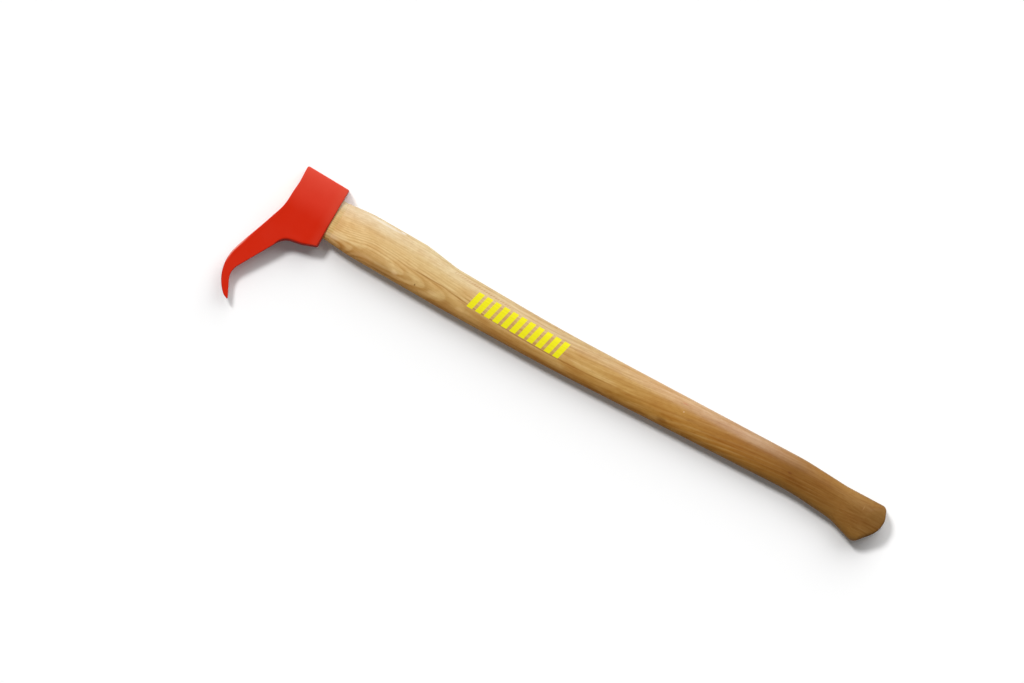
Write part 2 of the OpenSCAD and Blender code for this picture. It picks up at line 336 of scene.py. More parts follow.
def rounded(corners, closed=True):
    """One list of points for each corner (x, y, radius): the arc that rounds it, or the corner itself."""
    spots = [Vector(corner[:2]) for corner in corners]
    count = len(spots)
    turns = []
    wanted = []
    for i, corner in enumerate(corners):
        behind = spots[i] - spots[i - 1]
        ahead = spots[(i + 1) % count] - spots[i]
        inner = closed or 0 < i < count - 1
        turns.append(math.atan2(behind.cross(ahead), behind.dot(ahead)) if inner else 0)
        wanted.append(corner[2] * math.tan(abs(turns[i]) / 2))
    lengths = [(spots[(i + 1) % count] - spots[i]).length for i in range(count)]
    needs = [max(NO_LENGTH, wanted[i] + wanted[(i + 1) % count]) for i in range(count)]
    shares = [min(1, length / need) for length, need in zip(lengths, needs)]
    arcs = []
    for i, spot in enumerate(spots):
        tangent = wanted[i] * min(shares[i], shares[i - 1])
        if tangent < NO_LENGTH:
            arcs.append([spot])
            continue
        into = (spot - spots[i - 1]).normalized()
        start = spot - into * tangent
        side = Vector((-into.y, into.x)) * math.copysign(1, turns[i])
        centre = start + side * (tangent / math.tan(abs(turns[i]) / 2))
        swings = [Matrix.Rotation(turns[i] * k / ARC_STEPS, 2) for k in range(ARC_STEPS + 1)]
        arcs.append([centre + swing @ (start - centre) for swing in swings])
    return arcs


def flat_list(arcs):
    """The points of all arcs in one list."""
    return [point for arc in arcs for point in arc]


def lookup(line, at):
    """The second value of a line of points at a first value, between its two nearest points."""
    for a, b in zip(line, line[1:]):
        if a.x <= at <= b.x and b.x > a.x:
            return a.y + (b.y - a.y) * (at - a.x) / (b.x - a.x)
    return line[0].y if at < line[0].x else line[-1].y


def edge_widths(arcs, corners, marks):
    """The corners' edge widths over the distance round an outline, with a corner more at either end."""
    middles = []
    passed = 0
    for arc, corner in zip(arcs, corners):
        middles.append((marks[passed + len(arc) // 2], corner[3]))
        passed += len(arc)
    lap = marks[-1]
    before = (middles[-1][0] - lap, middles[-1][1])
    after = (middles[0][0] + lap, middles[0][1])
    return [Vector(middle) for middle in (before, *middles, after)]


def along_outline(corners, step):
    """Evenly spaced (point, inward direction, edge width) round a closed outline that turns clockwise."""
    arcs = rounded(corners)
    loop = flat_list(arcs)
    loop.append(loop[0])
    marks = [0.0]
    for a, b in zip(loop, loop[1:]):
        marks.append(marks[-1] + (b - a).length)
    widths = edge_widths(arcs, corners, marks)
    count = round(marks[-1] / step)
    spots = []
    j = 0
    for i in range(count):
        want = marks[-1] * i / count
        while marks[j + 1] < want:
            j += 1
        spots.append((loop[j].lerp(loop[j + 1], (want - marks[j]) / (marks[j + 1] - marks[j])), want))
    result = []
    for i, (spot, want) in enumerate(spots):
        ahead = (spots[(i + 1) % count][0] - spots[i - 1][0]).normalized()
        result.append((spot, Vector((ahead.y, -ahead.x)), lookup(widths, want)))
    return result


def inside(polygon, x, y):
    """Whether a point lies inside a polygon."""
    odd = False
    for a, b in zip(polygon, polygon[1:] + polygon[:1]):
        if (a.y > y) != (b.y > y) and x < a.x + (b.x - a.x) * (y - a.y) / (b.y - a.y):
            odd = not odd
    return odd


def oval(half_y, half_z, square):
    """Points of an oval section: 2 is an ellipse, and a larger square is squarer."""
    points = []
    for i in range(OVAL_SIDES):
        c = math.cos(math.tau * i / OVAL_SIDES)
        s = math.sin(math.tau * i / OVAL_SIDES)
        y = half_y * math.copysign(abs(c) ** (2 / square), c)
        z = half_z * math.copysign(abs(s) ** (2 / square), s)
        points.append((y, z))
    return points


# Meshes


def new_object(name, mesh):
    """An object in the scene that shows a mesh."""
    piece = bpy.data.objects.new(name, mesh)
    bpy.context.scene.collection.objects.link(piece)
    return piece


def mesh_from(name, build):
    """A mesh that a function fills, with its doubles merged and its faces turned outwards."""
    work = bmesh.new()
    build(work)
    bmesh.ops.remove_doubles(work, verts=work.verts, dist=SAME_POINT)
    bmesh.ops.recalc_face_normals(work, faces=work.faces)
    mesh = bpy.data.meshes.new(name)
    work.to_mesh(mesh)
    work.free()
    return mesh


def settle(piece):
    """Makes the modifiers' result the piece's own mesh, and removes them."""
    graph = bpy.context.evaluated_depsgraph_get()
    mesh = bpy.data.meshes.new_from_object(piece.evaluated_get(graph))
    piece.modifiers.clear()
    piece.data = mesh


def cut(piece, *cutters):
    """Takes the cutters out of the piece, and deletes them."""
    for cutter in cutters:
        boolean = piece.modifiers.new("cut", "BOOLEAN")
        boolean.operation = "DIFFERENCE"
        boolean.solver = "EXACT"
        boolean.object = cutter
    settle(piece)
    for cutter in cutters:
        bpy.data.objects.remove(cutter)


def smooth_by_angle(piece, degrees):
    """Smooth shading, with edges sharper than an angle left crisp."""
    piece.data.shade_smooth()
    piece.data.set_sharp_from_angle(angle=math.radians(degrees))


def bridge(work, rows):
    """Faces all the way round between each row of points and the next."""
    for a, b in zip(rows, rows[1:]):
        for i in range(len(a)):
            j = (i + 1) % len(a)
            work.faces.new((a[i], a[j], b[j], b[i]))


def skin(work, rings):
    """A closed skin over rings that have equal numbers of points."""
    rows = [[work.verts.new(p) for p in ring] for ring in rings]
    bridge(work, rows)
    work.faces.new(rows[0])
    work.faces.new(rows[-1])


def head_half(x, y):
    """Half of the head's thickness at a place on its side, before the edges are rounded."""
    bend = min(max((y - BEND_FROM) / BEND_RUN, 0), 1)
    past = max(y - BEND_FROM - BEND_RUN, 0)
    beak = BEAK_SLOPE * (BEND_RUN * bend * bend / 2 + past)
    poll = POLL_FALL * (max(POLL_FALL_FROM - y, 0) / (POLL_FALL_FROM - POLL_Y)) ** 3
    face = FACE_FALL * (max(FACE_FALL_FROM - x, 0) / (FACE_FALL_FROM - FACE_X)) ** 2
    return HALF_THICK - beak - poll - face


def cheek_points(border):
    """Points spread evenly inside a border, clear of it."""
    low = Vector((min(p.x for p in border), min(p.y for p in border)))
    high = Vector((max(p.x for p in border), max(p.y for p in border)))
    points = []
    for row in range(int((high.y - low.y) / GRID_STEP) + 1):
        for column in range(int((high.x - low.x) / GRID_STEP) + 1):
            x = low.x + GRID_STEP * (column + 0.5 * (row % 2))
            y = low.y + GRID_STEP * row
            if inside(border, x, y) and min((Vector((x, y)) - p).length for p in border) > GRID_STEP / 2:
                points.append(Vector((x, y)))
    return points


def fill_head(work):
    """Both cheeks of the head, with edges that round from the middle plane up to the cheek.
    The value "wall" is 1 where an edge stands upright and 0 on the cheeks.
    "Hollow" is the same under the beak alone, and marks where the paint is darkened as painted shade.
    "Outer" is 1 on the corner of the edge at the outer side, and marks where a highlight is painted."""
    wall = work.verts.layers.float.new("wall")
    hollow = work.verts.layers.float.new("hollow")
    outer = work.verts.layers.float.new("outer")
    outline = along_outline(HEAD_CORNERS, OUTLINE_STEP)
    turns = [math.pi / 2 * k / EDGE_RINGS for k in range(EDGE_RINGS + 1)]
    runs = [1 - max(0, math.cos(t)) ** (2 / EDGE_SQUARE) for t in turns]
    rises = [math.sin(t) ** (2 / EDGE_SQUARE) for t in turns]
    rings = [[spot + inward * (width * run) for spot, inward, width in outline] for run in runs]
    border = rings[-1]
    count = len(border)
    edges = [(i, (i + 1) % count) for i in range(count)]
    spots, _, faces, *_ = delaunay_2d_cdt(border + cheek_points(border), edges, [], 1, NO_LENGTH)
    for side in (1, -1):
        rows = []
        for k, (ring, rise) in enumerate(zip(rings, rises)):
            row = [work.verts.new((p.x, p.y, MIDDLE_Z + side * rise * head_half(p.x, p.y))) for p in ring]
            for vertex, (_, inward, _) in zip(row, outline):
                vertex[wall] = 1 - (k / EDGE_RINGS) ** 3
                vertex[hollow] = vertex[wall] * max(0, -inward.dot(HOLLOW_SIDE))
                vertex[outer] = max(0, 1 - abs(k / EDGE_RINGS - HIGHLIGHT_AT) / HIGHLIGHT_REACH) * max(0, -inward.x)
            rows.append(row)
        bridge(work, rows)
        cheek = [work.verts.new((p.x, p.y, MIDDLE_Z + side * head_half(p.x, p.y))) for p in spots]
        for face in faces:
            work.faces.new([cheek[i] for i in face])


def handle_ring(at, back, belly, half_z, square):
    """A ring across the handle at a distance down it, between its back and its belly."""
    middle = (back + belly) / 2
    return [(FACE_X - at, middle + y, MIDDLE_Z + z) for y, z in oval((belly - back) / 2, half_z, square)]


def eye_ring(at, grow):
    """A ring of the eye at a place along it, grown all round by a little, or shrunk to make the tenon."""
    share = min(max(0, -at) / EYE_HEIGHT, 1)
    more = EYE_FLARE / 2 * share + grow
    back = EYE_EASE * (1 - share) - EYE_LENGTH / 2 - more
    return handle_ring(at, back, EYE_LENGTH / 2 + more, EYE_WIDTH / 2 + more, TENON_SQUARE)


def fill_eye(work):
    """The space of the eye, with a small chamfer at both mouths, cut straight on past the crown."""
    crown = -EYE_HEIGHT
    stops = [
        (crown - CROWN_CUT_PAST, CROWN_CHAMFER),
        (crown, CROWN_CHAMFER),
        (crown + CROWN_CHAMFER, 0),
        (-FACE_CHAMFER, 0),
        (CUT_PAST, FACE_CHAMFER + CUT_PAST),
    ]
    skin(work, [eye_ring(at, grow) for at, grow in stops])


def make_head():
    """The forged head, with its eye cut through and its cheeks shaded evenly."""
    head = new_object("beak_head", mesh_from("beak_head", fill_head))
    cut(head, new_object("eye_space", mesh_from("eye_space", fill_eye)))
    smooth_by_angle(head, HEAD_CRISP)
    even = head.modifiers.new("even", "WEIGHTED_NORMAL")
    even.keep_sharp = True
    settle(head)
    return head


def fill_handle(work):
    """The handle from its tenon's end to its butt.
    The value "across" runs from -1 on its back to 1 on its belly, and straight on over the butt."""
    back = flat_list(rounded(BACK_CORNERS, closed=False))
    belly = flat_list(rounded(BELLY_CORNERS, closed=False))
    side = flat_list(rounded(SIDE_CORNERS, closed=False))
    square = [Vector(s) for s in SQUARENESS]
    across = work.verts.layers.float.new("across")
    stops = [COLLAR_AT + (KNOB_AT - COLLAR_AT) * i / SHAFT_RINGS for i in range(SHAFT_RINGS + 1)]
    for i in range(1, BUTT_RINGS + 1):
        stops.append(KNOB_AT + (BUTT_AT - KNOB_AT) * LAST_RING * math.sin(math.pi / 2 * i / BUTT_RINGS))
    rings = [eye_ring(at, -FIT_GAP) for at in (END_AT, 0, TENON_SHOW)]
    for at in stops:
        sizes = [lookup(line, at) for line in (back, belly, side, square)]
        rings.append(handle_ring(at, *sizes))
    skin(work, rings)
    for vertex in work.verts:
        at = min(FACE_X - vertex.co.x, KNOB_AT)
        top = lookup(back, at)
        bottom = lookup(belly, at)
        vertex[across] = (2 * vertex.co.y - top - bottom) / (bottom - top)


def fill_kerf(work):
    """The sawn slot that the wooden wedge sits in."""
    ends = ((END_X + CUT_PAST, WEDGE_THICK / 2), (END_X - WEDGE_DEPTH - FIT_GAP, WEDGE_EDGE / 2))
    corners = ((-1, -1), (1, -1), (1, 1), (-1, 1))
    rings = []
    for x, half in ends:
        z = half + FIT_GAP
        rings.append([(x, y * EYE_LENGTH, MIDDLE_Z + side * z) for y, side in corners])
    skin(work, rings)


def fill_groove(work):
    """The round groove that the steel ring is driven into."""
    middle = RING_OUTER - RING_WALL / 2
    taper = (RING_WALL - RING_EDGE) / 2 / RING_LENGTH
    bottom = RING_LENGTH + FIT_GAP
    section = ((-CUT_PAST, 1), (bottom, 1), (bottom, -1), (-CUT_PAST, -1))
    slices = []
    for i in range(OVAL_SIDES):
        turn = math.tau * i / OVAL_SIDES
        corners = []
        for depth, side in section:
            radius = middle + side * (RING_WALL / 2 - taper * depth + FIT_GAP)
            y = radius * math.cos(turn)
            z = MIDDLE_Z + radius * math.sin(turn)
            corners.append(work.verts.new((END_X - depth, y, z)))
        slices.append(corners)
    for i, here in enumerate(slices):
        before = slices[i - 1]
        for j in range(len(section)):
            work.faces.new((before[j], before[j - 1], here[j - 1], here[j]))


def make_handle():
    """The ash handle, with the kerf and the groove for its wedges."""
    handle = new_object("ash_handle", mesh_from("ash_handle", fill_handle))
    kerf = new_object("kerf", mesh_from("kerf", fill_kerf))
    groove = new_object("groove", mesh_from("groove", fill_groove))
    cut(handle, kerf, groove)
    smooth_by_angle(handle, HANDLE_CRISP)
    return handle


# Node trees


class Wire:
    """A node's output that can stand in Python sums: each operator adds one Math node to its tree."""

    def __init__(self, tree, socket=None):
        self.tree = tree
        self.socket = socket

    def add(self, kind, settings=None, inputs=None, out=0):
        """Adds a node, with its settings first, and then the values or links of its sockets."""
        node = self.tree.nodes.new(kind)
        for name, value in (settings or {}).items():
            if name == "stops":
                fill_ramp(node.color_ramp, value)
            else:
                setattr(node, name, value)
        for key, value in (inputs or {}).items():
            if isinstance(value, Wire):
                self.tree.links.new(value.socket, node.inputs[key])
            else:
                node.inputs[key].default_value = value
        return Wire(self.tree, node.outputs[out] if node.outputs else None)

    def other(self, out):
        """Another output of the same node."""
        return Wire(self.tree, self.socket.node.outputs[out])

    def math(self, operation, *values):
        """Adds a Math node on values or wires."""
        return self.add("ShaderNodeMath", {"operation": operation}, dict(enumerate(values)))

    def __add__(self, value):
        return self.math("ADD", self, value)

    def __radd__(self, value):
        return self.math("ADD", value, self)

    def __sub__(self, value):
        return self.math("SUBTRACT", self, value)

    def __rsub__(self, value):
        return self.math("SUBTRACT", value, self)

    def __mul__(self, value):
        return self.math("MULTIPLY", self, value)

    def __rmul__(self, value):
        return self.math("MULTIPLY", value, self)

    def __truediv__(self, value):
        return self.math("DIVIDE", self, value)

    def __rtruediv__(self, value):
        return self.math("DIVIDE", value, self)

    def __pow__(self, value):
        return self.math("POWER", self, value)


def fill_ramp(ramp, stops):
    """Gives a colour ramp its stops, as places and colours."""
    while len(ramp.elements) > 1:
        ramp.elements.remove(ramp.elements[-1])
    for i, (place, colour) in enumerate(stops):
        stop = ramp.elements[0] if i == 0 else ramp.elements.new(place)
        stop.position = place
        stop.color = colour


def step_between(value, low, high):
    """0 below low, 1 above high, and a smooth rise between them."""
    return value.add(
        "ShaderNodeMapRange",
        {"interpolation_type": "SMOOTHSTEP"},
        {"Value": value, "From Min": low, "From Max": high},
    )


def fade_between(value, low, high):
    """1 below low, 0 above high, and a smooth fall between them."""
    return 1 - step_between(value, low, high)


def span(value, rise_from, rise_to, fall_from, fall_to):
    """1 along a span of values, with a smooth rise before it and a smooth fall after it."""
    return step_between(value, rise_from, rise_to) * fade_between(value, fall_from, fall_to)


def parts_of(vector):
    """The three parts of a vector."""
    x = vector.add("ShaderNodeSeparateXYZ", None, {0: vector})
    return x, x.other(1), x.other(2)


def vector_of(wire, x=0.0, y=0.0, z=0.0):
    """A vector of three parts, in the tree of a wire."""
    return wire.add("ShaderNodeCombineXYZ", None, {0: x, 1: y, 2: z})


def mesh_value(place, name):
    """A value that the piece's mesh holds under a name."""
    return place.add("ShaderNodeAttribute", {"attribute_name": name}, out="Fac")


def stretched(place, x, y, z):
    """Coordinates stretched along each axis."""
    return place.add("ShaderNodeVectorMath", {"operation": "MULTIPLY"}, {0: place, 1: (x, y, z)})


def noise(place, scale, detail=2.0, roughness=0.5):
    """Soft noise between 0 and 1."""
    inputs = {"Vector": place, "Scale": scale, "Detail": detail, "Roughness": roughness}
    return place.add("ShaderNodeTexNoise", None, inputs)


def figure(grain, along, across, detail=2.0, roughness=0.5):
    """Noise drawn out along the grain: how fine it is along it and across it."""
    return noise(stretched(grain, along, across, across), 1.0, detail, roughness)


def mixed(share, first, second, blend="MIX"):
    """A colour between two, or the second blended over the first, by a share.
    A Mix node's colours are its inputs 6 and 7 and its output 2."""
    settings = {"data_type": "RGBA", "blend_type": blend}
    return share.add("ShaderNodeMix", settings, {0: share, 6: first, 7: second}, 2)


def tinted(wood, share, red, green, blue):
    """A colour that another darkens as a thin stain does, by a share; it carries stains and figure in the
    wood, and painted shade.
    """
    return mixed(share, wood, srgb(red, green, blue), "MULTIPLY")


def bumped(height, depth):
    """The normal of a surface with fine relief of a depth."""
    return height.add("ShaderNodeBump", None, {"Height": height, "Distance": depth, "Strength": 1.0})


def new_material(name):
    """A material with no nodes yet, and its Object coordinates."""
    material = bpy.data.materials.new(name)
    material.use_nodes = True
    material.node_tree.nodes.clear()
    place = Wire(material.node_tree).add("ShaderNodeTexCoord", out="Object")
    return material, place


def coated(place, inputs):
    """Ends a material in one Principled shader."""
    shader = place.add("ShaderNodeBsdfPrincipled", None, inputs)
    place.add("ShaderNodeOutputMaterial", None, {"Surface": shader})


# Finishes


def red_enamel():
    """Satin red paint, paler towards the poll and the handle as painted sheen, dull on the upright edges,
    darker on the edges of the hollow under the beak as painted shade, and with a painted highlight on the
    beak's outer edge.
    """
    material, place = new_material("red_enamel")
    x, y, _ = parts_of(place)
    aside = y / MM
    clouds = noise(place, 28, 3)
    grit = noise(place, 900, 2)
    dents = noise(place, 70, 3)
    # painted sheen: the red pales towards the poll and along the handle side, and clouds vary its tone at
    # random
    poll = (POLL_PALES_FROM - aside) / POLL_PALES_OVER
    by_handle = step_between(x / MM, *PALE_BY_HANDLE) * 0.35
    pale = poll.math("MAXIMUM", poll, 0) + by_handle + (clouds - 0.5) * 0.3
    red = mixed(pale.math("MAXIMUM", pale, 0), srgb(212, 37, 5), srgb(221, 73, 52))
    # painted shade: the upright edges of the hollow under the beak turn dark red
    red = mixed(mesh_value(place, "hollow"), red, srgb(156, 14, 2))
    # painted highlight: a pale pink line on the corner of the beak's outer edge
    painted_highlight = mesh_value(place, "outer") * span(aside, *HIGHLIGHT_SPAN)
    red = mixed(painted_highlight, red, srgb(246, 168, 150))
    inputs = {
        "Base Color": red,
        "Roughness": 0.36 + clouds * 0.1 + mesh_value(place, "wall") * 0.34,
        "Specular IOR Level": 0.16,
        "Normal": bumped(dents * 0.5 + grit * 0.04, 0.25 * MM),
    }
    coated(place, inputs)
    return material


def fleck(spot, down, across, length, width):
    """A soft oval mark, given in millimetres: 1 in its middle and 0 past its edge."""
    apart = spot.add("ShaderNodeVectorMath", {"operation": "SUBTRACT"}, {0: spot, 1: (down, across, 0)})
    scaled = stretched(apart, 2 / length, 2 / width, 1)
    far = scaled.add("ShaderNodeVectorMath", {"operation": "LENGTH"}, {0: scaled}, "Value")
    return fade_between(far, 0.35, 1.1)


HandleSpot = namedtuple("HandleSpot", "down aside up across grain")


def handle_spot(place):
    """Where on the handle a point lies, in millimetres: down it, aside, and up from its middle plane.
    Across is the mesh's value from the back to the belly, and grain the place in the drifting grain."""
    x, y, z = parts_of(place)
    down = (FACE_X - x) / MM
    aside = y / MM
    up = (z - MIDDLE_Z) / MM
    drifted = aside + GRAIN_DRIFT * step_between(down, *GRAIN_DRIFTS)
    grain = vector_of(place, down, drifted, up)
    return HandleSpot(down, aside, up, mesh_value(place, "across"), grain)


def growth_rings(grain):
    """Dark late wood and pale early wood, where the surface cuts growth rings about a bowed pith."""
    down, aside, up = parts_of(grain)
    past = down.math("MINIMUM", down, PITH_LEVELS) - PITH_PEAK
    beyond = down.math("MAXIMUM", down - PITH_LEVELS, 0)
    slope = SHAFT_SLOPE + (HEAD_SLOPE - SHAFT_SLOPE) * past.math("LESS_THAN", past, 0)
    bend = (past * past + PITH_BEND * PITH_BEND) ** 0.5 - PITH_BEND
    depth = PITH_DEPTH + slope * bend + PITH_SINK * beyond
    across = aside - PITH_NEAR + (PITH_NEAR - PITH_FAR) * step_between(down, *PITH_CROSSES)
    above = up - UPPER_SIDE + depth
    wander = figure(grain, 0.008, 0.04)
    waver = figure(grain, 0.03, 0.16)
    radius = (across * across + above * above) ** 0.5
    ring = (radius + (wander - 0.5) * RING_WANDER + (waver - 0.5) * RING_WAVER) / RING_SPACING
    phase = ring.math("FRACT", ring)
    late = span(phase, 0.0, 0.15, 0.2, 0.65)
    early = span(phase, 0.5, 0.7, 0.8, 1.0)
    return late, early


def ash_tone(down):
    """The wood's tone, which deepens from the head to the knob."""
    share = (down - END_AT / MM) / ((BUTT_AT - END_AT) / MM)
    stops = [(at, srgb(*colour)) for at, colour in ASH_TONES]
    return share.add("ShaderNodeValToRGB", {"stops": stops}, {0: share})


def with_sheen(wood, spot):
    """A painted sheen towards the back: cream at the shoulder, then sand, and honey at the grip."""
    amount = 0.34 - 0.2 * step_between(spot.down, *SHEEN_THINS) + 0.2 * step_between(spot.down, *SHEEN_GROWS)
    amount = amount - 0.18 * step_between(spot.down, *SHEEN_FADES)
    film = mixed(step_between(spot.down, *CREAM_TO_SAND), srgb(236, 228, 214), srgb(222, 206, 186))
    film = mixed(step_between(spot.down, *SAND_TO_HONEY), film, srgb(208, 170, 108))
    # painted sheen mixed over the wood towards the back
    return mixed(step_between(spot.across, -0.1, -1.0) * amount, wood, film)


def with_rings(wood, spot, late, early):
    """Growth rings, faint towards the back and weaker down the handle."""
    strength = figure(spot.grain, 0.006, 0.07, 1)
    shown = 1 - 0.5 * step_between(spot.down, *RINGS_WEAKEN)
    shown = shown * (0.25 + 0.75 * step_between(spot.across, -0.4, 0.3))
    shown = shown * (1 - 0.8 * step_between(spot.down, *RINGS_FADE))
    wood = tinted(wood, late * (0.2 + strength * 0.65) * shown, 224, 202, 166)
    return mixed(early * strength * shown * 0.5, wood, srgb(246, 222, 168))


def with_streaks(wood, spot, fibres, mottle, pores):
    """Streaks, threads, blotches, fibres, mottle and pores, each a little darker than the wood."""
    streaks = figure(spot.grain, 0.004, 0.13)
    threads = figure(spot.grain, 0.012, 0.42)
    blotches = figure(spot.grain, 0.035, 0.07)
    shown = 0.4 + 0.6 * step_between(spot.down, *STREAKS_GROW)
    wood = tinted(wood, step_between(streaks, 0.35, 0.7) * shown * 0.8, 238, 228, 206)
    wood = tinted(wood, step_between(threads, 0.42, 0.7) * shown * 0.6, 232, 218, 190)
    wood = tinted(wood, step_between(blotches, 0.4, 0.7) * 0.5, 238, 220, 194)
    wood = tinted(wood, step_between(fibres, 0.4, 0.7) * 0.35, 228, 212, 186)
    wood = tinted(wood, step_between(mottle, 0.4, 0.7) * 0.3, 236, 222, 196)
    return tinted(wood, pores * 0.18, 150, 108, 64)


def with_crease(wood, spot):
    """A bowed dark line on the upper side, with a darker band on its belly side."""
    apart = spot.down - CREASE_AT
    crease = apart.math("MAXIMUM", CREASE_TOP - CREASE_BOW * apart * apart, CREASE_LEAST)
    below = spot.aside - crease
    close = below.math("ABSOLUTE", below)
    there = span(spot.down, *CREASE_SPAN) * step_between(spot.up, 0, 4)
    wood = tinted(wood, step_between(below, -1, 2) * there * 0.6, 236, 222, 196)
    return tinted(wood, fade_between(close, 0.3, 1.3) * there * 0.7, 206, 176, 134)


def with_marks(wood, spot, upper):
    """The small marks on the upper side, with the painted highlights among them."""
    flat = vector_of(spot.down, spot.down, spot.aside)
    for at, aside, length, width, share, colour in WOOD_MARKS:
        wood = mixed(fleck(flat, at, aside, length, width) * upper * share, wood, srgb(*colour))
    return wood


def with_pore_row(wood, spot, upper):
    """A slanting row of open pores on the upper side."""
    row = spot.aside - PORE_ROW_Y - PORE_ROW_SLOPE * (spot.down - PORE_ROW_FROM)
    dash = (spot.down + row) / PORE_ROW_PITCH
    dash = fade_between(dash.math("PINGPONG", dash, 0.5), 0.14, 0.3)
    in_row = fade_between(row.math("ABSOLUTE", row), 0.5, 1.4)
    return tinted(wood, dash * in_row * span(spot.down, *PORE_ROW_SPAN) * upper * 0.5, 214, 168, 122)


def with_edges(wood, spot, mottle):
    """The milled tenon; a belly darkened as painted shade, which eases down the handle and gives way at the
    grip to painted light that lifts it; and a back cooled and dimmed as painted shade.
    """
    show = TENON_SHOW / MM
    milled = fade_between(spot.down, show - TENON_BLUR, show + TENON_BLUR)
    wood = tinted(wood, milled * (1 - 0.4 * step_between(mottle, 0.35, 0.65)), 244, 250, 243)
    # painted shade: the belly side darkens to a warm tone
    low = step_between(spot.across, 0.5, 1.0) * (0.9 - 0.2 * step_between(spot.down, *BELLY_EASES))
    low = low * fade_between(spot.down, *BELLY_DARK_ENDS)
    low = low * (0.5 + 0.5 * step_between(spot.down, *BELLY_DARKENS))
    wood = tinted(wood, low, 242, 212, 168)
    # painted light: the belly is lifted paler towards the grip
    lift = step_between(spot.across, 0.4, 0.9) * step_between(spot.down, *BELLY_LIFTS) * 0.4
    wood = mixed(lift, wood, srgb(178, 130, 64))
    # painted shade: the back, which faces the light, is dimmed to a cooler tone
    high = step_between(spot.across, -0.2, -0.9) * fade_between(spot.down, *BACK_COOL_ENDS)
    return tinted(wood, high, 238, 246, 255)


def lacquered_ash():
    """Ash under clear lacquer: growth rings, pores, streaks and small marks, in a tone that deepens."""
    material, place = new_material("lacquered_ash")
    spot = handle_spot(place)
    late, early = growth_rings(spot.grain)
    fibres = figure(spot.grain, 0.02, 0.8, 3, 0.6)
    mottle = figure(spot.grain, 0.16, 0.3)
    pores = step_between(figure(spot.grain, 0.16, 1.5, 1), 0.62, 0.72)
    upper = step_between(spot.up, *UPPER_FROM)
    wood = with_sheen(ash_tone(spot.down), spot)
    wood = with_rings(wood, spot, late, early)
    wood = with_streaks(wood, spot, fibres, mottle, pores)
    wood = with_crease(wood, spot)
    wood = with_marks(wood, spot, upper)
    wood = with_pore_row(wood, spot, upper)
    wood = with_edges(wood, spot, mottle)
    coat = 0.8 * fade_between(spot.across, 0.0, 0.6) * (1 - 0.9 * step_between(spot.down, *COAT_THINS))
    inputs = {
        "Base Color": wood,
        "Roughness": 0.6 + fibres * 0.1,
        "Specular IOR Level": 0.05,
        "Coat Weight": coat,
        "Coat Roughness": 0.26,
        "Normal": bumped(fibres * 0.3 - pores * 0.7 - late * 0.25, 0.04 * MM),
    }
    coated(place, inputs)
    return material


def wedge_hardwood():
    """Bare sawn hardwood, darker than the handle, with short pores."""
    material, place = new_material("wedge_hardwood")
    fibres = noise(stretched(place, 30, 600, 900), 1.0, 3, 0.6)
    pores = step_between(figure(place, 300, 1600, 1), 0.6, 0.7)
    wood = mixed(fibres, srgb(146, 104, 64), srgb(182, 138, 92))
    wood = tinted(wood, pores * 0.6, 120, 84, 56)
    relief = bumped(fibres - pores, 0.08 * MM)
    coated(place, {"Base Color": wood, "Roughness": 0.6 + fibres * 0.15, "Normal": relief})
    return material


def bare_steel():
    """Turned steel with fine rings of the tool, dulled in patches."""
    material, place = new_material("bare_steel")
    x, y, z = parts_of(place)
    above = z - MIDDLE_Z
    radius = (y * y + above * above) ** 0.5 / MM
    turned = noise(vector_of(place, radius * 9, x / MM * 4), 1.0, 2)
    dull = noise(place, 240, 3)
    inputs = {
        "Base Color": mixed(step_between(dull, 0.4, 0.7), srgb(186, 187, 189), srgb(142, 138, 132)),
        "Metallic": 1.0,
        "Roughness": 0.3 + dull * 0.2,
        "Normal": bumped(turned, 0.03 * MM),
    }
    coated(place, inputs)
    return material


def yellow_ink():
    """Screen-printed yellow, a little thin over the grain."""
    material, place = new_material("yellow_ink")
    fibres = figure(place, 14, 700, 3, 0.6)
    inputs = {
        "Base Color": mixed(step_between(fibres, 0.35, 0.75), srgb(238, 230, 20), srgb(230, 220, 16)),
        "Roughness": 0.5 + fibres * 0.1,
        "Specular IOR Level": 0.15,
        "Normal": bumped(fibres, 0.02 * MM),
    }
    coated(place, inputs)
    return material


def seen_rays(start):
    """1 for rays from the camera, mirrors and glass, and 0 for light that bounces."""
    path = start.add("ShaderNodeLightPath", out="Is Camera Ray")
    seen = path.math("MAXIMUM", path, path.other("Is Glossy Ray"))
    return path.math("MAXIMUM", seen, path.other("Is Transmission Ray"))


def grey(level):
    """A grey, from 0 for black to 1 for white."""
    return (level, level, level, 1)


def white_floor():
    """A matte floor that shows white where no shadow falls."""
    material, place = new_material("white_floor")
    plain = place.add("ShaderNodeBsdfDiffuse", None, {"Color": grey(FLOOR_BOUNCE)})
    white = place.add("ShaderNodeBsdfDiffuse", None, {"Color": grey(FLOOR_SEEN)})
    glow = place.add("ShaderNodeEmission", None, {"Color": grey(1), "Strength": FLOOR_GLOW})
    shown = place.add("ShaderNodeAddShader", None, {0: white, 1: glow})
    floor = place.add("ShaderNodeMixShader", None, {0: seen_rays(place), 1: plain, 2: shown})
    place.add("ShaderNodeOutputMaterial", None, {"Surface": floor})
    return material


# Pieces made by node trees


def new_tree(name, sizes):
    """A geometry tree with named inputs, and a wire for each of them."""
    tree = bpy.data.node_groups.new(name, "GeometryNodeTree")
    tree.interface.new_socket("Geometry", in_out="OUTPUT", socket_type="NodeSocketGeometry")
    tree.interface.new_socket("Geometry", in_out="INPUT", socket_type="NodeSocketGeometry")
    for label, (kind, _) in sizes.items():
        tree.interface.new_socket(label, in_out="INPUT", socket_type=kind)
    first = Wire(tree).add("NodeGroupInput")
    return tree, {label: first.other(label) for label in sizes}


